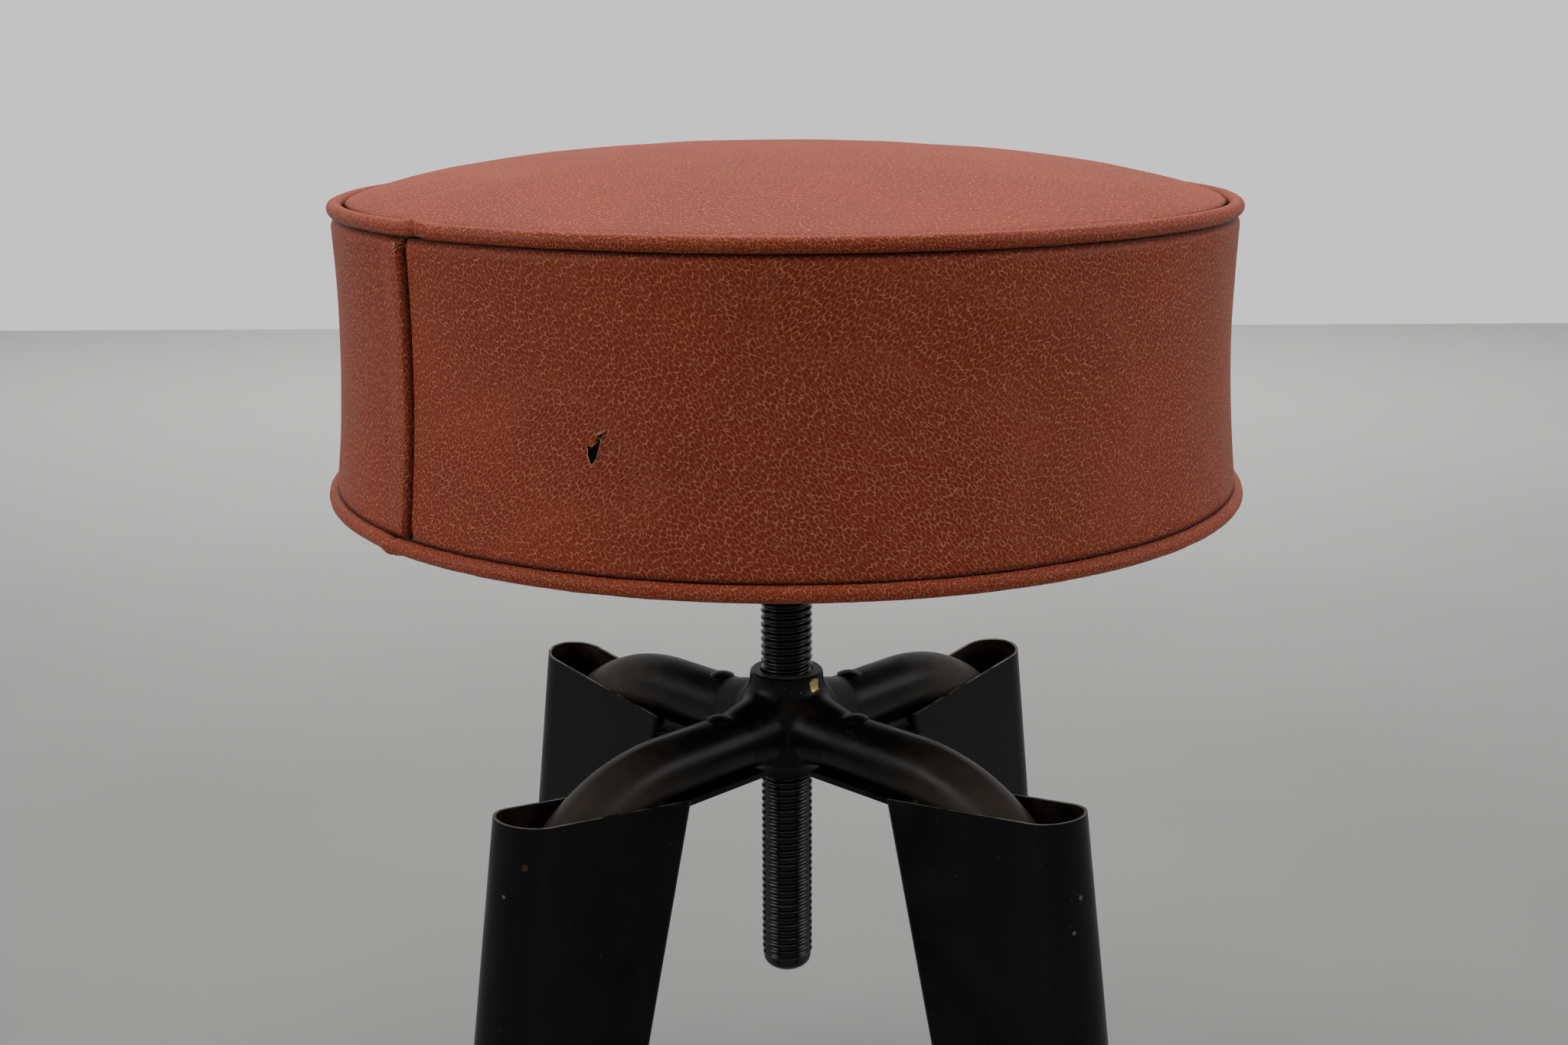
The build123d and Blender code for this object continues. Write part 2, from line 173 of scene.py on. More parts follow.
class Shader:
    """Node tree of one material, with short calls that add and join nodes."""

    def __init__(self, name):
        self.material = bpy.data.materials.new(name)
        self.material.use_nodes = True
        self.tree = self.material.node_tree
        self.surface = self.tree.nodes["Principled BSDF"]

    def add(self, kind, **settings):
        node = self.tree.nodes.new("ShaderNode" + kind)
        for key, value in settings.items():
            setattr(node, key, value)
        return node

    def feed(self, socket, value):
        if isinstance(value, bpy.types.NodeSocket):
            self.tree.links.new(value, socket)
        else:
            socket.default_value = value

    def set(self, **sockets):
        for key, value in sockets.items():
            self.feed(self.surface.inputs[key.replace("_", " ")], value)

    def math(self, operation, *values):
        node = self.add("Math", operation=operation)
        for socket, value in zip(node.inputs, values):
            self.feed(socket, value)
        return node.outputs[0]

    def product(self, *values):
        result = values[0]
        for value in values[1:]:
            result = self.math("MULTIPLY", result, value)
        return result

    def vector(self, operation, *values, output="Vector"):
        node = self.add("VectorMath", operation=operation)
        for socket, value in zip(node.inputs, values):
            self.feed(socket, value)
        return node.outputs[output]

    def length(self, value):
        return self.vector("LENGTH", value, output="Value")

    def scaled(self, value, factor):
        node = self.add("VectorMath", operation="SCALE")
        self.feed(node.inputs[0], value)
        node.inputs["Scale"].default_value = factor
        return node.outputs[0]

    def parts(self, value):
        node = self.add("SeparateXYZ")
        self.feed(node.inputs[0], value)
        return node.outputs

    def place(self):
        """Point of the surface in the object's frame, in millimetres."""
        return self.scaled(self.add("TexCoord").outputs["Object"], 1000)

    def normal(self):
        return self.add("TexCoord").outputs["Normal"]

    def chart(self):
        """Texture coordinates of a piece of cloth, in millimetres."""
        return self.scaled(self.add("UVMap", uv_map="surface").outputs[0], 1000)

    def noise(self, vector, size, detail=3.0, output="Fac"):
        """Cloudy noise whose blobs are about a size across, in the vector's units."""
        node = self.add("TexNoise")
        self.feed(node.inputs["Vector"], vector)
        node.inputs["Scale"].default_value = 1 / size
        node.inputs["Detail"].default_value = detail
        return node.outputs[output]

    def stirred(self, vector, size, reach):
        """Vector moved about by noise, to make regular patterns uneven."""
        cloud = self.noise(vector, size, detail=2.0, output="Color")
        shift = self.scaled(self.vector("SUBTRACT", cloud, (0.5, 0.5, 0.5)), 2 * reach)
        return self.vector("ADD", vector, shift)

    def ramp(self, value, start, end, low=0.0, high=1.0):
        """Smooth step of a value from low at start to high at end."""
        node = self.add("MapRange", interpolation_type="SMOOTHSTEP")
        for socket, item in zip(node.inputs, (value, start, end, low, high)):
            self.feed(socket, item)
        return node.outputs[0]

    def mix(self, share, first, second):
        node = self.add("Mix", data_type="RGBA")
        colours = [socket for socket in node.inputs if socket.type == "RGBA"]
        self.feed(node.inputs["Factor"], share)
        self.feed(colours[0], first)
        self.feed(colours[1], second)
        return next(socket for socket in node.outputs if socket.type == "RGBA")

    def bump(self, height, depth):
        node = self.add("Bump")
        node.inputs["Distance"].default_value = depth
        self.feed(node.inputs["Height"], height)
        self.set(Normal=node.outputs[0])

    def spot(self, place, middle, radius, ragged=0.6):
        """Mask of one ragged spot, all in millimetres."""
        away = self.length(self.vector("SUBTRACT", place, middle))
        rough = self.noise(place, 0.8 * radius, detail=4.0)
        torn = self.math("MULTIPLY_ADD", rough, 2 * ragged * radius, away)
        return self.ramp(torn, (1.05 + ragged) * radius, (0.9 + ragged) * radius)


# Leatherette: a broken net of raised creases on a slant, their crests paler partly as painted highlight, with
# painted shade in the open seam and along the band's edges sewn to the pipings

def make_leatherette(name, cell, grain_depth):
    """Leatherette whose grain is about a cell across, in millimetres."""
    s = Shader(name)
    chart = s.chart()
    uneven = s.stirred(chart, 9.0, 0.6)

    def creases(slant):
        """Broken ridges round cells that are long on a slant."""
        slanted = s.add("Mapping", vector_type="TEXTURE")
        s.feed(slanted.inputs["Vector"], uneven)
        slanted.inputs["Rotation"].default_value = (0, 0, radians(slant))
        slanted.inputs["Scale"].default_value = (cell, 1.8 * cell, 1)
        cells = s.add("TexVoronoi", voronoi_dimensions="2D", feature="DISTANCE_TO_EDGE")
        s.feed(cells.inputs["Vector"], slanted.outputs[0])
        cells.inputs["Scale"].default_value = 1.0
        broken = s.ramp(s.noise(slanted.outputs[0], 0.9, detail=2.0), 0.44, 0.62, 0.2, 1.0)
        return s.product(s.ramp(cells.outputs["Distance"], 0.22, 0.04), broken)

    lie = s.ramp(s.noise(chart, 120.0, detail=1.0), 0.4, 0.46)
    falling = s.product(creases(40), lie)
    rising = s.product(creases(-42), s.math("SUBTRACT", 1.0, lie))
    ridge = s.math("ADD", rising, falling)
    fine = s.noise(chart, 0.45, detail=3.0)
    s.bump(s.math("MULTIPLY_ADD", fine, 0.2, ridge), grain_depth)
    ground = s.mix(s.ramp(s.noise(chart, 60.0, detail=3.0), 0.3, 0.7), srgb(126, 40, 8), srgb(137, 46, 11))
    # The crests of the creases are paler: partly the grain's own lighter tone, partly painted highlight
    colour = s.mix(s.product(ridge, 0.75), ground, srgb(216, 132, 88))
    # Painted shade: the colour goes near black in the open seam and along the band's sewn edges
    painted_shade = s.add("Attribute", attribute_name="painted_shade").outputs["Fac"]
    s.set(Base_Color=s.mix(painted_shade, colour, srgb(20, 7, 4)))
    s.set(Roughness=s.math("MULTIPLY_ADD", fine, 0.2, 0.34), Specular_IOR_Level=0.16)
    return s.material


leatherette = make_leatherette("leatherette", 1.35, 0.3 * mm)
piping_leatherette = make_leatherette("piping_leatherette", 1.0, 0.18 * mm)


# Crown of the cushion: the cover over its stuffing, swollen by a cloth simulation

cover_meets = radians(30)      # up the inner side of the top piping, where the cover ends
crown_rim_radius = top_seam_radius - piping_radius * cos(cover_meets)
crown_rim_z = top_seam_z + piping_radius * sin(cover_meets)
shoulder_radius = seat_radius - shoulder_set_in
shoulder_z = crown_z - shoulder_fall
dome_bend = (shoulder_radius**2 + shoulder_fall**2) / (2 * shoulder_fall)
shoulder_slope = asin(shoulder_radius / dome_bend)
shoulder_run = Vector((crown_rim_radius - shoulder_radius, shoulder_z - crown_rim_z))
shoulder_turn = atan2(shoulder_run.y, shoulder_run.x) - shoulder_slope
shoulder_bend = shoulder_run.length / (2 * sin(shoulder_turn))


def crown_profile(radius):
    """Height of the crown at a radius: a shallow dome, then a rounder shoulder down to the piping."""
    if radius <= shoulder_radius:
        return crown_z - dome_bend + sqrt(dome_bend**2 - radius**2)
    middle_radius = shoulder_radius - shoulder_bend * sin(shoulder_slope)
    middle_z = shoulder_z - shoulder_bend * cos(shoulder_slope)
    return middle_z + sqrt(shoulder_bend**2 - (radius - middle_radius) ** 2)


def disc_point(u, v):
    """Share of the radius and turn, in a disc, for a point of the square from -1 to 1. It leaves no pole."""
    reach = max(abs(u), abs(v))
    if reach == 0:
        return 0.0, 0.0
    if abs(u) == reach:
        return reach, (0 if u > 0 else pi) + pi / 4 * v / u
    return reach, (pi / 2 if v > 0 else -pi / 2) - pi / 4 * u / v


def crown_mesh(sag):
    """Closed form of the crown, its middle lower by sag, with a flat underside on the stuffing."""
    cells = 72
    points, faces, index = [], [], {}
    for level in ("top", "under"):
        for i in range(cells + 1):
            for j in range(cells + 1):
                share, turn = disc_point(2 * i / cells - 1, 2 * j / cells - 1)
                if level == "under" and share == 1:
                    index[level, i, j] = index["top", i, j]
                    continue
                radius = share * crown_rim_radius
                height = crown_rim_z - 1 * mm
                if level == "top":
                    height = crown_profile(radius) - sag * (1 - share**2)
                index[level, i, j] = len(points)
                points.append(on_ring(radius, turn, height))
    for level in ("top", "under"):
        for i in range(cells):
            for j in range(cells):
                quad = [index[level, i + a, j + b] for a, b in ((0, 0), (1, 0), (1, 1), (0, 1))]
                faces.append(quad if level == "top" else quad[::-1])
    mesh = bpy.data.meshes.new("cushion_crown")
    mesh.from_pydata(points, [], faces)
    return mesh, (cells + 1) ** 2


def swell(mesh, pinned, pressure, frames, cap):
    """Points of a closed mesh after a short cloth simulation under pressure, each moved by at most cap."""
    before = [vertex.co.copy() for vertex in mesh.vertices]
    puffed = bpy.data.objects.new("swelling", mesh)
    scene.collection.objects.link(puffed)
    group = puffed.vertex_groups.new(name="sewn")
    for index, hold in pinned:
        group.add([index], hold, "REPLACE")
    cloth = puffed.modifiers.new("cloth", "CLOTH")
    cloth.settings.vertex_group_mass = "sewn"
    cloth.settings.use_pressure = True
    cloth.settings.uniform_pressure_force = pressure
    cloth.settings.effector_weights.gravity = 0
    cloth.settings.quality = 5
    cloth.point_cache.frame_end = frames
    for step in range(1, frames + 1):
        scene.frame_set(step)
    solved = puffed.evaluated_get(bpy.context.evaluated_depsgraph_get())
    after = [vertex.co.copy() for vertex in solved.data.vertices]
    scene.frame_set(1)
    bpy.data.objects.remove(puffed)
    moved = []
    for start, end in zip(before, after):
        shift = end - start
        moved.append(start + shift * min(1.0, cap / max(shift.length, 1e-9)))
    return moved


def rim_share(point):
    return hypot(point.x, point.y) / crown_rim_radius


def make_crown():
    sag = 5 * mm
    mesh, top_count = crown_mesh(sag)
    if sag:
        pinned = []
        for vertex in mesh.vertices:
            hold = smooth_step(rim_share(vertex.co), 0.93, 0.985) if vertex.index < top_count else 1.0
            if hold > 0:
                pinned.append((vertex.index, hold))
        points = swell(mesh, pinned, pressure=4.0, frames=20, cap=9 * mm)
        gain = crown_z - 0.3 * mm - max(point.z for point in points)
        for vertex, point in zip(mesh.vertices, points):
            if vertex.index < top_count:
                point.z += gain * max(1 - rim_share(point) ** 2, 0)
            vertex.co = point
    for vertex in mesh.vertices:
        if vertex.index < top_count:
            rim = rim_share(vertex.co)
            uneven = 0.5 * wobble(vertex.co, 55 * mm, 3) + 0.25 * wobble(vertex.co, 22 * mm, 8)
            vertex.co.z += uneven * mm * (1 - smooth_step(rim, 0.9, 1.0))
            gathers = abs(wobble(vertex.co, 11 * mm, 6)) * smooth_step(rim, 0.82, 0.96)
            vertex.co.z -= 0.7 * mm * gathers * (1 - smooth_step(rim, 0.985, 1.0))
    layer = mesh.uv_layers.new(name="surface")
    for loop in mesh.loops:
        layer.data[loop.index].uv = mesh.vertices[loop.vertex_index].co.xy
    crown = finish_piece("cushion_crown", mesh, "seat", "leatherette", leatherette)
    smoother = crown.modifiers.new("smooth", "SUBSURF")
    smoother.levels = 1
    smoother.render_levels = 1
    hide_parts("top_cover", "seat_foam")


make_crown()


# Side band: drawn in at its waist, with the left panel's folded edge laid over the upright seam

band_top_radius = seat_radius - band_set_in
band_foot_radius = foot_radius - band_foot_set_in
top_groove, foot_groove = 2.0 * mm, 0.3 * mm      # how far the band turns in where it is sewn to the pipings
groove_reach = 1.7 * mm        # how far from its edges it does so


def band_turns():
    """Angles round the band, close together at the seam and about 2 mm apart elsewhere."""
    step, steps = 0.22 * mm / band_top_radius, 160
    close = [seam_turn + step * (k - steps / 2) for k in range(steps + 1)]
    rest = tau - step * steps
    count = round(rest * band_top_radius / (2 * mm))
    return close + [close[-1] + rest * k / count for k in range(1, count)]


def band_rises():
    """Shares of the band's height, close together at its sewn edges."""
    edge = [step * mm / band_tall for step in (0, 0.4, 0.8, 1.3, 2.0, 3.0, 4.5)]
    count = 36
    middle = [edge[-1] + (1 - 2 * edge[-1]) * k / count for k in range(1, count)]
    return edge + middle + [1 - share for share in reversed(edge)]


def seam_gap(across, rise):
    """1 in the open seam and 0 outside it. across is metres to its right, rise 0 to 1 up the band."""
    width = (0.9 + 0.9 * smooth_step(rise, 0.1, 0.9) + 2.0 * near(rise, 0.03)) * mm
    return smooth_step(across, -0.5 * mm, 0.1 * mm) * (1 - smooth_step(across, width, width + 0.6 * mm))


def seam_relief(across, rise):
    """How far the band stands out near the seam, where the left panel's folded edge is raised."""
    lip = 1.5 * mm * smooth_step(across, -16 * mm, -2.5 * mm) * (1 - smooth_step(across, -1.6 * mm, 0.2 * mm))
    right_edge = 0.6 * mm * near(across - 1.5 * mm, 4 * mm) if across > 0 else 0.0
    return lip - right_edge - 3.2 * mm * seam_gap(across, rise)


def band_reach(turn, rise):
    """Radius of the band's outside at a turn and a share of its height."""
    straight = band_foot_radius + (band_top_radius - band_foot_radius) * rise
    radius = straight - band_waist * 4 * rise * (1 - rise)
    radius -= top_groove * near((1 - rise) * band_tall, groove_reach)
    radius -= foot_groove * near(rise * band_tall, groove_reach)
    across = turn_between(turn, seam_turn) * radius
    edge = min(rise, 1 - rise) * band_tall
    radius += seam_relief(across, rise) * smooth_step(edge, 0.3 * mm, 2 * mm)
    place = on_ring(radius, turn, band_low.z + band_tall * rise)
    return radius + 0.3 * mm * wobble(place, 45 * mm, 5) + 0.1 * mm * wobble(place, 14 * mm, 2)


def on_band(turn, rise, lift=0.0):
    return on_ring(band_reach(turn, rise) + lift, turn, band_low.z + band_tall * rise)


def make_band():
    turns, rises = band_turns(), band_rises()
    rows = len(rises) + 2
    waist = [on_band(turn, 0.5) for turn in turns + turns[:1]]
    along = list(accumulate(((b - a).length for a, b in zip(waist, waist[1:])), initial=0.0))
    tuck_in = {0: Vector((-0.4, -1.4)) * mm, rows - 1: Vector((-1.5, 1.5)) * mm}

    def rise_of(row):
        return rises[min(max(row - 1, 0), len(rises) - 1)]

    def place(row, step):
        inwards, upwards = tuck_in.get(row, (0, 0))
        return on_band(turns[step], rise_of(row), inwards) + Vector((0, 0, upwards))

    # Painted shade: 1 in the open seam and along the band's sewn edges, where its colour is darkened
    def painted_shade(row, step):
        edge = min(rise_of(row), 1 - rise_of(row)) * band_tall
        across = turn_between(turns[step], seam_turn) * band_top_radius
        return max(near(edge, 1.1 * mm), seam_gap(across, rise_of(row)))

    mesh = wrapped_grid(
        "cushion_band", rows, len(turns), place, lambda row, step: (along[step], rise_of(row) * band_tall)
    )
    shade = mesh.attributes.new("painted_shade", "FLOAT", "POINT")
    shade.data.foreach_set("value", [painted_shade(row, step) for row in range(rows) for step in range(len(turns))])
    band = finish_piece("cushion_band", mesh, "seat", "leatherette", leatherette)
    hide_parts("side_band")


make_band()


# Small tear in the band, with a curled pale edge round a near-black patch of painted shade for the hollow
# behind it

tear_turn, tear_rise = radians(-111.2), 0.392

# Millimetres right of the tear's middle and above it
tear_outline = [
    (3.4, 6.1), (2.3, 4.4), (2.0, 2.2), (1.1, -0.8), (0.6, -2.6), (-0.8, -4.6), (-1.5, -4.3),
    (-2.5, -1.2), (-2.2, -0.1), (-2.8, 1.2), (-1.8, 0.1), (-0.4, 1.6), (1.6, 3.4), (0.9, 5.0), (2.3, 5.6),
]


def make_fibre():
    s = Shader("torn_fibre")
    fine = s.noise(s.place(), 0.6, detail=4.0)
    s.set(Base_Color=s.mix(s.ramp(fine, 0.3, 0.7), srgb(140, 72, 48), srgb(206, 160, 128)))
    s.set(Roughness=0.85, Specular_IOR_Level=0.1)
    s.bump(fine, 0.1 * mm)
    return s.material


def make_hollow_shade():
    # Painted shade: a near-black sheet stands for the hollow inside the tear
    s = Shader("tear_painted_shade")
    fine = s.noise(s.place(), 0.9, detail=4.0)
    s.set(Base_Color=s.mix(fine, srgb(6, 5, 5), srgb(24, 17, 13)))
    s.set(Roughness=0.95, Specular_IOR_Level=0.0)
    return s.material


def make_tear():
    rings = [(1.22, 0.02), (1.0, 0.45), (0.8, 0.12)]      # size against the outline, lift in millimetres
    middle = [sum(axis) / len(tear_outline) for axis in zip(*tear_outline)]

    def place(grow, lift, right, up):
        right = middle[0] + (right - middle[0]) * grow
        up = middle[1] + (up - middle[1]) * grow
        turn = tear_turn + right * mm / band_top_radius
        return on_band(turn, tear_rise + up * mm / band_tall, lift * mm)

    points = [place(grow, lift, *corner) for grow, lift in rings for corner in tear_outline]
    points.append(place(0.0, 0.06, *middle))
    count = len(tear_outline)
    faces = []
    for ring in range(2):
        for k in range(count):
            a, b = ring * count + k, ring * count + (k + 1) % count
            faces.append((b, a, a + count, b + count))
    faces += [(2 * count + (k + 1) % count, 2 * count + k, 3 * count) for k in range(count)]
    mesh = bpy.data.meshes.new("band_tear")
    mesh.from_pydata(points, [], faces)
    finish_piece("band_tear", mesh, "seat", "leatherette", make_fibre(), make_hollow_shade())
    mesh.polygons.foreach_set("material_index", [0] * count + [1] * (len(faces) - count))


make_tear()


# Loose ends of sewing thread at the top of the upright seam

def make_thread():
    s = Shader("sewing_thread")
    twist = s.math("SINE", s.product(s.parts(s.place())[2], 9.0))
    s.set(Base_Color=s.mix(s.ramp(twist, -1.0, 1.0), srgb(172, 148, 116), srgb(222, 204, 174)))
    s.set(Roughness=0.75, Specular_IOR_Level=0.15)
    s.bump(twist, 0.05 * mm)
    return s.material


def strand(points, radius, sides=6):
    """Points and faces of a thin tube along points that run down the band."""
    ring = [Vector((cos(tau * k / sides), sin(tau * k / sides), 0)) * radius for k in range(sides)]
    faces = []
    for row in range(len(points) - 1):
        for k in range(sides):
            a, b = row * sides + k, row * sides + (k + 1) % sides
            faces.append((b, a, a + sides, b + sides))
    return [point + offset for point in points for offset in ring], faces


def make_loose_threads():
    points, faces = [], []
    # Start and drift to the right of the seam, and length, in millimetres
    strands = [(-1.2, -1.0, 2.4), (-0.3, -0.8, 3.4), (0.5, 0.9, 2.0)]
    for start, drift, length in strands:
        route = []
        for k in range(9):
            share = k / 8
            across = (start + drift * share + 0.5 * sin(5 * share + start)) * mm
            rise = 0.985 - length * share * mm / band_tall
            route.append(on_band(seam_turn + across / band_top_radius, rise, 0.5 * mm))
        tube_points, tube_faces = strand(route, 0.2 * mm)
        faces += [[corner + len(points) for corner in face] for face in tube_faces]
        points += tube_points
    mesh = bpy.data.meshes.new("loose_threads")
    mesh.from_pydata(points, [], faces)
    close_ends(mesh)
    finish_piece("loose_threads", mesh, "seat", "lining", make_thread())


make_loose_threads()


# Pipings: covered cords, slightly uneven, each with a joint where its ends meet

def cord_section(start, end, steps=18):
    """Points round a cord of radius 1, from one angle to another."""
    turns = [radians(start + (end - start) * k / steps) for k in range(steps + 1)]
    return [(cos(turn), sin(turn)) for turn in turns]


def make_piping(name, node, radius, height, joint, joint_swell, joint_lift, section, skirt=()):
    """Cord with a section in piping radii, then the points of a skirt in metres from the cord's middle."""
    steps = 900
    profile = [(out * piping_radius, up * piping_radius, True) for out, up in section]
    profile += [(out, up, False) for out, up in skirt]
    profile.append(profile[0])
    along = [0.0]
    for a, b in zip(profile, profile[1:]):
        along.append(along[-1] + hypot(b[0] - a[0], b[1] - a[1]))

    def place(row, step):
        turn = tau * (step % steps) / steps
        out, up, on_cord = profile[row]
        if not on_cord:
            return on_ring(radius + out, turn, height + up)
        centre = on_ring(radius, turn, height)
        away = turn_between(turn, joint) * radius
        bulge = near(away, 5 * mm)
        uneven = 0.035 * wobble(centre, 9 * mm, 4) + 0.03 * wobble(centre, 3.5 * mm, 7)
        swollen = (1.05 + uneven + joint_swell * bulge) * (1 - 0.28 * near(away - 1.5 * mm, 0.8 * mm))
        drift = 0.25 * mm * wobble(centre, 28 * mm, 9)
        lift = joint_lift * bulge + 0.6 * drift
        return on_ring(radius + drift + out * swollen, turn, height + lift + up * swollen)

    def chart(row, step):
        return (tau * radius * step / steps, along[row])

    mesh = wrapped_grid(name, len(profile), steps, place, chart)
    piping = finish_piece(name, mesh, "seat", "leatherette", piping_leatherette)
    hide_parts(node)


def foot_skirt():
    """Flange under the board, from the cord inwards along its upper side and back along its lower side."""
    inner = skirt_width + piping_radius + upholstery_gap
    outer = piping_radius + 0.2 * mm
    outs = [outer + (inner - outer) * k / 5 for k in range(6)]
    high, low = board_lift - 0.15 * mm, board_lift - skirt_drop + 0.15 * mm
    return [(-out, high) for out in outs] + [(-out, low) for out in reversed(outs)]


make_piping(
    "piping_top", "top_piping", top_seam_radius, top_seam_z,
    radians(-135.7), 0.12, 0.9 * mm, cord_section(0, 340, steps=17),
)
make_piping(
    "piping_foot", "bottom_piping", foot_seam_radius, foot_seam_z,
    radians(-141), 0.16, -0.9 * mm, cord_section(-139, 193), foot_skirt(),
)


# Lining tacked under the board: black cambric, drawn up at each tack

def make_cambric():
    s = Shader("cambric")
    chart = s.chart()
    across, along, _ = s.parts(s.stirred(chart, 30.0, 0.6))
    weave = s.product(s.math("SINE", s.product(across, 7.0)), s.math("SINE", s.product(along, 7.0)))
    dust = s.ramp(s.noise(chart, 25.0, detail=5.0), 0.45, 0.75)
    cloth = s.mix(s.ramp(weave, -0.6, 0.6), srgb(14, 14, 15), srgb(34, 33, 33))
    s.set(Base_Color=s.mix(s.product(dust, 0.4), cloth, srgb(92, 86, 78)))
    s.set(Roughness=0.9, Specular_IOR_Level=0.15)
    s.bump(weave, 0.12 * mm)
    return s.material


def make_lining():
    low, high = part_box("dust_cover")
    edge, rings, steps = high.x, 40, 480
    middle_z = (low.z + high.z) / 2

    def place(ring, step):
        turn = tau * (step % steps) / steps
        share = ring / (rings - 1)
        radius = lining_hole + (edge - lining_hole) * share
        pull = (1 + cos(turn * tack_count)) / 2
        slack = smooth_step(radius, edge - 5 * tack_set_in, edge - tack_set_in)
        height = middle_z + 0.35 * mm * slack * (2 * pull - 1)
        height += 0.12 * mm * wobble(on_ring(radius, turn, 0), 30 * mm, 2)
        scallop = 0.9 * mm * (1 - pull) * smooth_step(share, 0.93, 1.0)
        return on_ring(radius - scallop, turn, height)

    mesh = wrapped_grid("lining", rings, steps, place, lambda ring, step: tuple(place(ring, step).xy))
    lining = finish_piece("lining", mesh, "seat", "lining", make_cambric())
    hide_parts("dust_cover")


make_lining()


# Spindle with its true right-hand thread

def make_oily_steel():
    """Dark greased steel, worn brighter along the thread's crests."""
    s = Shader("oily_steel")
    place = s.place()
    reach = s.length(s.vector("MULTIPLY", place, (1, 1, 0)))
    cloud = s.noise(place, 7.0, detail=4.0)
    fine = s.noise(place, 0.7, detail=2.0)
    worn = s.product(s.ramp(reach, 10.6, 10.98), s.ramp(cloud, 0.45, 0.7))
    dark = s.mix(cloud, srgb(8, 7, 7), srgb(20, 18, 16))
    s.set(Base_Color=s.mix(worn, dark, srgb(60, 57, 53)))
    s.set(Metallic=0.4, Specular_IOR_Level=0.5)
    s.set(Roughness=s.math("MULTIPLY_ADD", fine, 0.2, 0.12))
    s.bump(fine, 0.03 * mm)
    return s.material


def make_spindle():
    boss_z = spindle_high.z - boss_drop
    thread_low, thread_high = spindle_low.z + tip_rise, boss_z - 1.5 * mm
    sides, per_pitch = 56, 10
    rows = int((thread_high - thread_low) / thread_pitch * per_pitch)
    core = thread_radius - thread_depth / 2
    tip = [(core * sin(k * pi / 16), thread_low - tip_rise * cos(k * pi / 16)) for k in range(1, 8)]
    top = [(core, boss_z), (neck_radius, boss_z), (neck_radius, spindle_high.z)]
    heights = [thread_low + (thread_high - thread_low) * k / rows for k in range(rows + 1)]

    def thread(height, turn):
        """Radius of the thread, which fades out at both of its ends."""
        wave = cos(tau * height / thread_pitch - turn)
        fade = smooth_step(height, thread_low, thread_low + thread_pitch)
        fade *= 1 - smooth_step(height, thread_high - thread_pitch, thread_high)
        return core + thread_depth / 2 * wave * (1.15 - 0.15 * wave * wave) * fade

    def place(row, step):
        turn = tau * (step % sides) / sides
        if row < len(tip):
            return on_ring(tip[row][0], turn, tip[row][1])
        row -= len(tip)
        if row < len(heights):
            return on_ring(thread(heights[row], turn), turn, heights[row])
        return on_ring(top[row - len(heights)][0], turn, top[row - len(heights)][1])

    def chart(row, step):
        return (tau * thread_radius * step / sides, place(row, step).z)

    mesh = wrapped_grid("screw_spindle", len(tip) + len(heights) + len(top), sides, place, chart)
    close_ends(mesh)
    spindle = finish_piece("screw_spindle", mesh, "seat", "oiled_steel", make_oily_steel())
    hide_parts("spindle")


make_spindle()


# Felt ring in the lower end of the hub

def make_felt_cloth():
    s = Shader("greasy_felt")
    place = s.place()
    fuzz = s.noise(place, 0.8, detail=5.0)
    grease = s.ramp(s.noise(place, 6.0, detail=3.0), 0.4, 0.65)
    wool = s.mix(fuzz, srgb(66, 58, 48), srgb(112, 102, 88))
    s.set(Base_Color=s.mix(grease, wool, srgb(34, 29, 23)))
    s.set(Roughness=s.ramp(grease, 0.0, 1.0, 0.95, 0.5), Specular_IOR_Level=0.2)
    s.bump(fuzz, 0.3 * mm)
    return s.material


def make_felt():
    low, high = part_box("grease_felt")
    sides, rows, squareness = 96, 24, 0.6
    middle_radius, middle_z = high.x - felt_width / 2, (low.z + high.z) / 2
    half_width, half_height = felt_width / 2 - 0.05 * mm, (high.z - low.z) / 2 - 0.05 * mm

    def squared(value):
        return abs(value) ** squareness * (1 if value > 0 else -1)

    def place(row, step):
        turn = tau * (step % sides) / sides
        around = tau * (row % (rows - 1)) / (rows - 1)
        out, up = squared(cos(around)), squared(sin(around))
        rough = 1 - 0.06 * abs(wobble(on_ring(high.x, turn, up * half_height), 1.5 * mm, 3))
        return on_ring(middle_radius + half_width * out * rough, turn, middle_z + half_height * up * rough)

    def chart(row, step):
        return (tau * high.x * step / sides, 4 * (half_width + half_height) * row / rows)

    mesh = wrapped_grid("felt_ring", rows, sides, place, chart)
    felt = finish_piece("felt_ring", mesh, "screw_felt", "felt", make_felt_cloth())
    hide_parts("grease_felt")


make_felt()


# Black enamel of the base, with its wear

rust = srgb(92, 52, 32)
brass = srgb(186, 168, 104)
bare_steel = srgb(92, 90, 86)
brown_dirt = srgb(44, 34, 27)


def start_enamel(name):
    """Black paint with faint clouds, specks of dust and orange peel: its shader, place and colour."""
    s = Shader(name)
    place = s.place()
    cloud = s.noise(place, 24.0, detail=5.0)
    s.set(Roughness=s.ramp(cloud, 0.2, 0.8, 0.28, 0.44), Specular_IOR_Level=0.13)
    s.bump(s.noise(place, 1.3, detail=2.0), 0.015 * mm)
    colour = s.mix(cloud, srgb(4, 4, 4), srgb(9, 9, 8))
    specks = s.ramp(s.noise(place, 1.1, detail=1.0), 0.74, 0.8)
    return s, place, s.mix(s.product(specks, 0.5), colour, srgb(84, 78, 70))


def make_plain_enamel():
    s, place, colour = start_enamel("plain_enamel")
    dirt = s.ramp(s.noise(place, 14.0, detail=5.0), 0.52, 0.72)
    s.set(Base_Color=s.mix(s.product(dirt, 0.6), colour, brown_dirt))
    return s.material


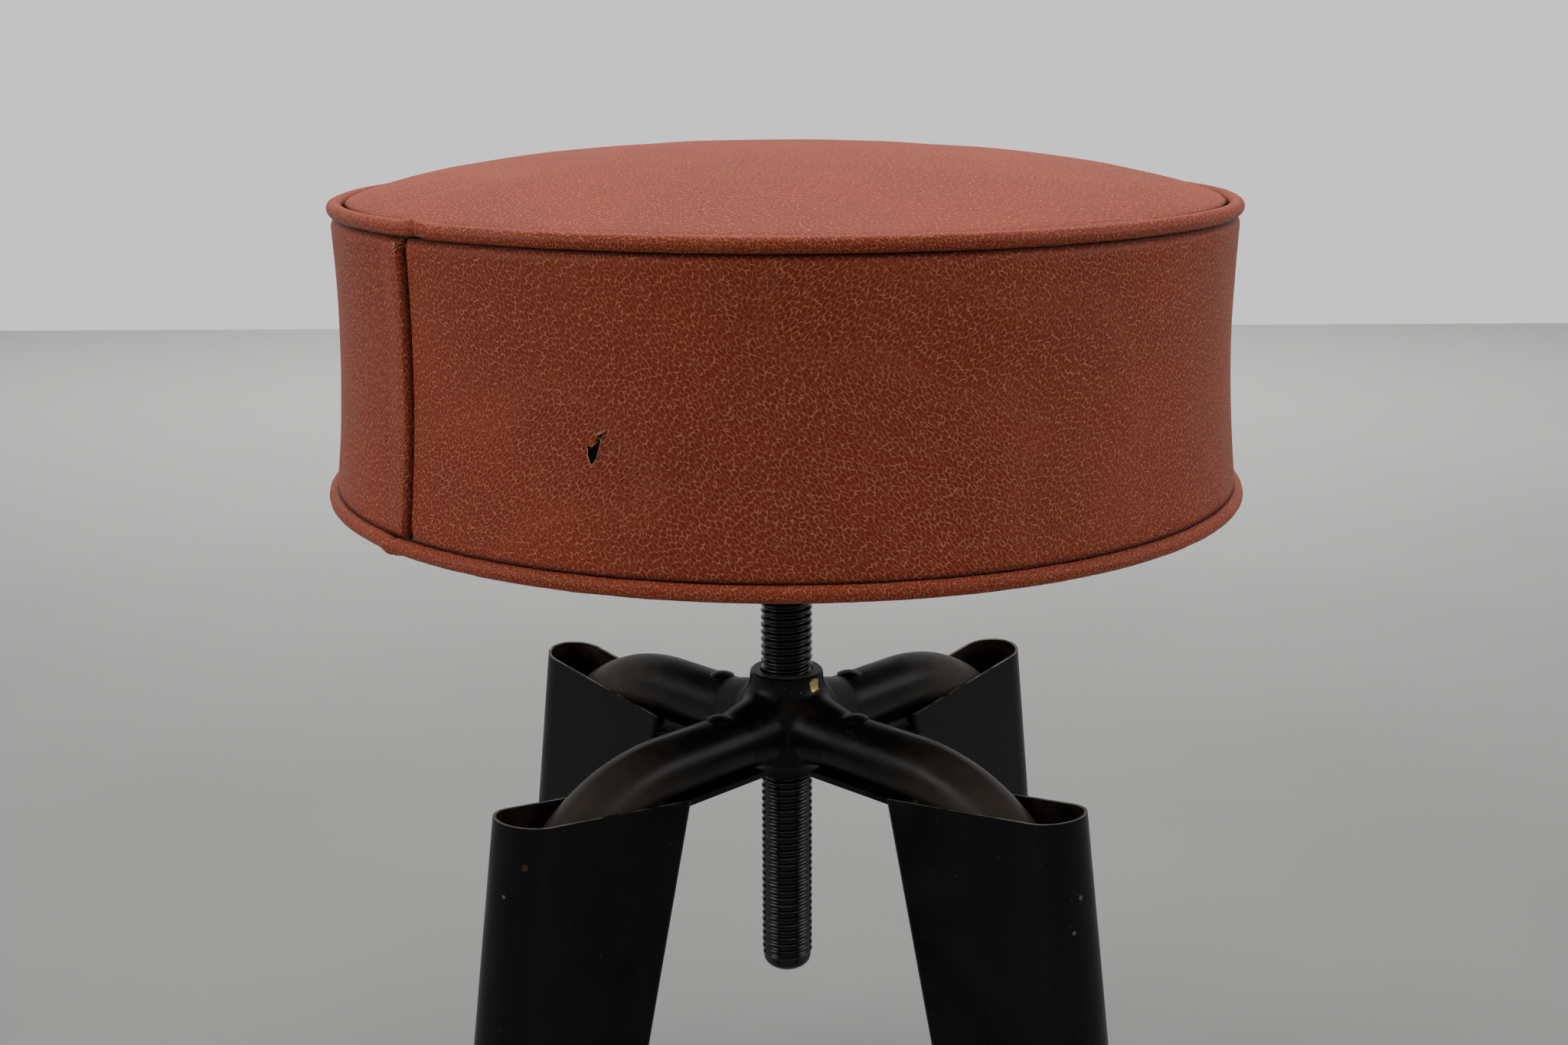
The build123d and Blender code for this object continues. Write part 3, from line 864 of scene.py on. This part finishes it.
def make_arm_enamel():
    """Paint that is rubbed brown towards the outer ends of the arms."""
    s, place, colour = start_enamel("arm_enamel")
    reach = s.length(s.vector("MULTIPLY", place, (1, 1, 0)))
    uneven = s.math("MULTIPLY_ADD", s.noise(place, 9.0, detail=5.0), 34.0, reach)
    colour = s.mix(s.ramp(uneven, 70.0, 150.0), colour, srgb(68, 60, 53))
    scratch = s.ramp(s.noise(s.vector("MULTIPLY", place, (1, 1, 4)), 5.0, detail=6.0), 0.68, 0.74)
    s.set(Base_Color=s.mix(s.product(scratch, 0.35), colour, bare_steel))
    return s.material


def make_leg_enamel(chips):
    """Paint with a bright rim, a dirty inside and a few chips. One quarter's form serves all four legs."""
    s, place, colour = start_enamel("leg_enamel")
    x, y, height = s.parts(place)
    normal_x, normal_y, normal_z = s.parts(s.normal())
    out_x, out_y = s.math("ABSOLUTE", x), s.math("ABSOLUTE", y)
    lean_x, lean_y = s.product(normal_x, s.math("SIGN", x)), s.product(normal_y, s.math("SIGN", y))
    reach = s.product(s.math("ADD", out_x, out_y), sqrt(0.5))
    side = s.product(s.math("SUBTRACT", out_x, out_y), sqrt(0.5))
    lean_out = s.product(s.math("ADD", lean_x, lean_y), sqrt(0.5))
    lean_side = s.product(s.math("SUBTRACT", lean_x, lean_y), sqrt(0.5))
    nose = s.math("MULTIPLY_ADD", height, -nose_slope, nose_reach + nose_z * nose_slope)
    from_nose = s.math("SUBTRACT", reach, nose)
    faces_out = s.math("ADD", s.product(from_nose, lean_out), s.product(side, lean_side))
    dirt = s.ramp(s.noise(place, 12.0, detail=5.0), 0.3, 0.7)
    colour = s.mix(s.product(s.ramp(faces_out, -2.0, -6.0), dirt), colour, srgb(46, 33, 25))
    rim = s.product(s.ramp(normal_z, 0.8, 0.95), s.ramp(height, 150.0, 200.0))
    worn = s.ramp(s.noise(place, 8.0, detail=4.0), 0.35, 0.6)
    colour = s.mix(s.product(rim, worn), colour, srgb(120, 114, 104))
    for middle, radius, bare in chips:
        colour = s.mix(s.spot(place, middle, radius), colour, bare)
    s.set(Base_Color=colour)
    return s.material


def make_hub_enamel(chips):
    """Paint with a bare upper rim, brown wear on the fillets and chips down to the brass."""
    s, place, colour = start_enamel("hub_enamel")
    height = s.parts(place)[2]
    upright = s.parts(s.normal())[2]
    reach = s.length(s.vector("MULTIPLY", place, (1, 1, 0)))
    fillet = s.product(s.ramp(upright, 0.2, 0.5), s.ramp(upright, 0.95, 0.8), s.ramp(reach, 34.0, 26.0))
    rubbed = s.product(fillet, s.ramp(s.noise(place, 6.0, detail=5.0), 0.45, 0.65), 0.15)
    colour = s.mix(rubbed, colour, srgb(74, 54, 42))
    rim = s.product(s.ramp(upright, 0.8, 0.95), s.ramp(height, hub_high.z / mm - 2, hub_high.z / mm - 1))
    colour = s.mix(s.product(rim, 0.7), colour, bare_steel)
    chipped = 0.0
    for middle, radius in chips:
        chipped = s.math("MAXIMUM", chipped, s.spot(place, middle, radius, ragged=0.9))
    s.set(Base_Color=s.mix(chipped, colour, brass), Metallic=s.product(chipped, 0.7))
    return s.material


# Braze and paint over the joint of hub and arms: rough forms merged, then smoothed into one skin

# Radius and height off the arms, in millimetres, from the hub's neck to its widest part
hub_flare = [(15.7, 27.0), (15.9, 20.0), (17.2, 16.5), (19.4, 13.2), (21.5, 8.0)]
fillet_top, fillet_foot = 23.4 * mm, -18.6 * mm
fillet_start, fillet_end, fillet_radius = 12 * mm, 33 * mm, 16 * mm
skin_end, skin_spare = 38 * mm, 5 * mm
skin_depth = 1.5 * mm          # how far under a surface the skin is still lifted onto it
fillet_cover = 0.04 * mm


def rough_hub(arms, centre):
    rough = bmesh.new()

    def frustum(start, end, start_radius, end_radius):
        run = end - start
        turned = run.to_track_quat("Z", "Y").to_matrix().to_4x4()
        bmesh.ops.create_cone(
            rough, cap_ends=True, segments=48, radius1=start_radius, radius2=end_radius,
            depth=run.length, matrix=Matrix.Translation((start + end) / 2) @ turned,
        )

    up = Vector((0, 0, mm))
    for (small, far), (large, close) in zip(hub_flare, hub_flare[1:]):
        for side in (-1, 1):
            frustum(centre + up * side * close, centre + up * side * far, large * mm, small * mm)
    wide, level = hub_flare[-1]
    frustum(centre - up * level, centre + up * level, wide * mm, wide * mm)
    for arm in arms:
        frustum(centre, centre + arm * (skin_end + skin_spare), tube_radius, tube_radius)
        frustum(centre + arm * fillet_start + up * 1.5, centre + arm * fillet_end, fillet_radius, tube_radius)
    mesh = bpy.data.meshes.new("hub_rough")
    rough.to_mesh(mesh)
    rough.free()
    return mesh


def smoothed(mesh, voxel, rounds):
    """New mesh: the union of a mesh's forms, remeshed and smoothed."""
    blank = bpy.data.objects.new("blank", mesh)
    scene.collection.objects.link(blank)
    merge = blank.modifiers.new("merge", "REMESH")
    merge.mode = "VOXEL"
    merge.voxel_size = voxel
    soften = blank.modifiers.new("soften", "SMOOTH")
    soften.factor = 0.5
    soften.iterations = rounds
    result = bpy.data.meshes.new_from_object(blank.evaluated_get(bpy.context.evaluated_depsgraph_get()))
    bpy.data.objects.remove(blank)
    return result


def make_hub_fillet():
    centre = Vector((0, 0, arm_z))
    arms = [Vector((cos(turn), sin(turn), 0)) for turn in leg_turns]
    skin = bmesh.new()
    skin.from_mesh(smoothed(rough_hub(arms, centre), voxel=0.8 * mm, rounds=30))
    buried = []
    for vertex in skin.verts:
        from_axis = Vector((vertex.co.x, vertex.co.y, 0))
        height = vertex.co.z - arm_z
        if from_axis.length < hub_radius - skin_depth or not fillet_foot < height < fillet_top:
            buried.append(vertex)
        elif from_axis.length < hub_radius + fillet_cover:
            vertex.co += from_axis.normalized() * (hub_radius + fillet_cover - from_axis.length)
        for arm in arms:
            run = (vertex.co - centre).dot(arm)
            from_tube = vertex.co - centre - arm * run
            short = tube_radius + fillet_cover - from_tube.length
            if run > skin_end:
                buried.append(vertex)
            elif run > fillet_start and 0 < short < skin_depth:
                vertex.co += from_tube.normalized() * short
    bmesh.ops.delete(skin, geom=list(set(buried)), context="VERTS")
    mesh = bpy.data.meshes.new("hub_fillet")
    skin.to_mesh(mesh)
    skin.free()
    fillet = finish_piece("hub_fillet", mesh, "base", "enamelled_braze", hub_enamel)
    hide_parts("hub_braze")


hub_enamel = make_hub_enamel([((11.4, -10.7, 292.0), 2.6), ((5.4, -14.6, 290.0), 0.6)])
make_hub_fillet()


# Small metal parts, board and feet

def make_blued_steel():
    s = Shader("blued_steel")
    place = s.place()
    fine = s.noise(place, 0.9, detail=3.0)
    spotted = s.ramp(s.noise(place, 3.0, detail=5.0), 0.5, 0.7)
    s.set(Base_Color=s.mix(s.product(spotted, 0.6), s.mix(fine, srgb(34, 34, 38), srgb(62, 62, 66)), rust))
    s.set(Metallic=0.8, Roughness=s.ramp(spotted, 0.0, 1.0, 0.34, 0.65))
    s.bump(fine, 0.03 * mm)
    return s.material


def make_plywood():
    """Birch plywood: long grain on its faces and plies at its edge."""
    s = Shader("plywood")
    place = s.place()
    grain = s.noise(s.vector("MULTIPLY", s.stirred(place, 40.0, 4.0), (0.08, 1.0, 0.3)), 3.0, detail=5.0)
    face = s.mix(s.ramp(grain, 0.3, 0.7), srgb(150, 112, 74), srgb(190, 154, 110))
    plies = s.ramp(s.math("SINE", s.product(s.parts(place)[2], tau / 4.0)), -0.2, 0.2)
    edge = s.mix(plies, srgb(112, 78, 48), srgb(182, 146, 102))
    on_face = s.ramp(s.math("ABSOLUTE", s.parts(s.normal())[2]), 0.4, 0.7)
    s.set(Base_Color=s.mix(on_face, edge, face), Roughness=0.72, Specular_IOR_Level=0.25)
    s.bump(grain, 0.1 * mm)
    return s.material


def make_rubber():
    s = Shader("foot_rubber")
    place = s.place()
    fine = s.noise(place, 0.8, detail=4.0)
    low_down = s.ramp(s.parts(place)[2], 7.0, 0.0)
    dust = s.product(s.ramp(s.noise(place, 9.0, detail=5.0), 0.4, 0.7), low_down, 0.6)
    s.set(Base_Color=s.mix(dust, s.mix(fine, srgb(16, 16, 16), srgb(32, 31, 30)), srgb(104, 98, 90)))
    s.set(Roughness=s.math("MULTIPLY_ADD", fine, 0.2, 0.66), Specular_IOR_Level=0.3)
    s.bump(fine, 0.1 * mm)
    return s.material


def coat(material, *names):
    for name in names:
        mesh = cad[name].data
        mesh.materials.clear()
        mesh.materials.append(material)


leg_chips = [
    ((-99.8, -114.8, 256.8), 1.3, srgb(62, 46, 28)),
    ((-108.3, -114.8, 245.1), 0.8, bare_steel),
    ((109.4, -114.6, 242.6), 0.9, bare_steel),
    ((106.8, -117.5, 229.5), 0.8, bare_steel),
]
leg_enamel = make_leg_enamel(leg_chips)
arm_enamel = make_arm_enamel()
plain_enamel = make_plain_enamel()
rubber = make_rubber()
for corner in ("front_left", "front_right", "rear_right", "rear_left"):
    coat(leg_enamel, f"leg_{corner}")
    coat(arm_enamel, f"arm_{corner}")
    coat(plain_enamel, f"strap_{corner}")
    coat(rubber, f"foot_{corner}")
coat(hub_enamel, "hub_bush")
coat(plain_enamel, "arm_rivets", "seat_plate")
coat(make_blued_steel(), "plate_screws", "cross_pin", "cover_tacks")
coat(make_plywood(), "seat_board")


# Floor, wall and light

def make_wall_paint():
    """Pale wall that looks evenly lit to the camera and in reflections, and is plain paint to other light."""
    s = Shader("studio_wall")
    pale = srgb(194, 194, 194)
    s.set(Base_Color=pale, Roughness=0.9)
    glow = s.add("Emission")
    glow.inputs["Color"].default_value = pale
    path = s.add("LightPath").outputs
    seen = s.math("ADD", path["Is Camera Ray"], path["Is Glossy Ray"])
    seen = s.math("MINIMUM", s.math("ADD", seen, path["Is Transmission Ray"]), 1.0)
    choice = s.add("MixShader")
    s.feed(choice.inputs["Fac"], seen)
    s.feed(choice.inputs[1], s.surface.outputs[0])
    s.feed(choice.inputs[2], glow.outputs[0])
    s.feed(s.tree.nodes["Material Output"].inputs["Surface"], choice.outputs[0])
    return s.material


def make_floor_paint():
    s = Shader("studio_floor")
    place = s.place()
    paint = s.mix(s.noise(place, 400.0, detail=5.0), srgb(128, 128, 127), srgb(142, 142, 141))
    # Painted light: the floor turns paler further back, towards the wall
    far = s.ramp(s.parts(place)[1], 300.0, 2800.0)
    s.set(Base_Color=s.mix(far, paint, srgb(182, 182, 181)), Roughness=0.8)
    return s.material


def stage_sheet(name, profile, material):
    """Wide sheet of the studio, from points of depth and height."""
    half = 5.0
    points = [(side * half, depth, height) for depth, height in profile for side in (-1, 1)]
    faces = [(2 * k, 2 * k + 1, 2 * k + 3, 2 * k + 2) for k in range(len(profile) - 1)]
    mesh = bpy.data.meshes.new(name)
    mesh.from_pydata(points, [], faces)
    mesh.materials.append(material)
    mesh.polygons.foreach_set("use_smooth", [True] * len(mesh.polygons))
    piece = bpy.data.objects.new(name, mesh)
    scene.collection.objects.link(piece)


def make_studio():
    back, wall_height, bend = 3.0, 3.4, 0.3
    cove = [(back + bend * sin(k * pi / 24), bend - bend * cos(k * pi / 24)) for k in range(13)]
    stage_sheet("studio_floor", [(-3.0, 0.0), (back, 0.0)], make_floor_paint())
    stage_sheet("studio_wall", cove + [(back + bend, wall_height)], make_wall_paint())


def area_light(name, place, aim, width, height, power):
    light = bpy.data.lights.new(name, "AREA")
    light.shape = "RECTANGLE"
    light.size, light.size_y = width, height
    light.energy = power
    lamp = bpy.data.objects.new(name, light)
    lamp.location = place
    lamp.rotation_euler = (Vector(aim) - Vector(place)).to_track_quat("-Z", "Y").to_euler()
    scene.collection.objects.link(lamp)


def make_light():
    area_light("overhead", (0, 0.6, 2.6), (0, 0.1, 0.3), 2.6, 2.2, 43)
    area_light("window_left", (-2.4, -0.8, 1.5), (0, 0, 0.4), 1.6, 1.6, 28)
    area_light("window_right", (2.4, -0.4, 1.4), (0, 0, 0.4), 1.4, 1.4, 21)
    area_light("background", (0, 2.2, 2.9), (0, 2.4, 0), 4.0, 1.0, 45)
    world = bpy.data.worlds.new("studio")
    scene.world = world
    world.use_nodes = True
    sky = world.node_tree.nodes["Background"]
    sky.inputs["Color"].default_value = (0.55, 0.55, 0.55, 1)
    sky.inputs["Strength"].default_value = 0.6


def make_camera():
    """Camera at the photograph's height and slope."""
    position = Vector((-10.9, -768.3, 556.7)) * mm
    pitch, roll, yaw = 0.25, -0.003, 0.013
    data = bpy.data.cameras.new("camera")
    data.sensor_width = 36.0
    data.lens = 43.29
    data.clip_start, data.clip_end = 0.01, 50.0
    forward = Vector((sin(yaw) * cos(pitch), cos(yaw) * cos(pitch), -sin(pitch)))
    right = Vector((cos(yaw), -sin(yaw), 0))
    up = right.cross(forward)
    tilted_right = right * cos(roll) + up * sin(roll)
    tilted_up = up * cos(roll) - right * sin(roll)
    turned = Matrix((tilted_right, tilted_up, -forward)).transposed().to_4x4()
    camera = bpy.data.objects.new("camera", data)
    camera.matrix_world = Matrix.Translation(position) @ turned
    scene.collection.objects.link(camera)
    scene.camera = camera


make_studio()
make_light()
make_camera()
scene.view_settings.view_transform = "Standard"
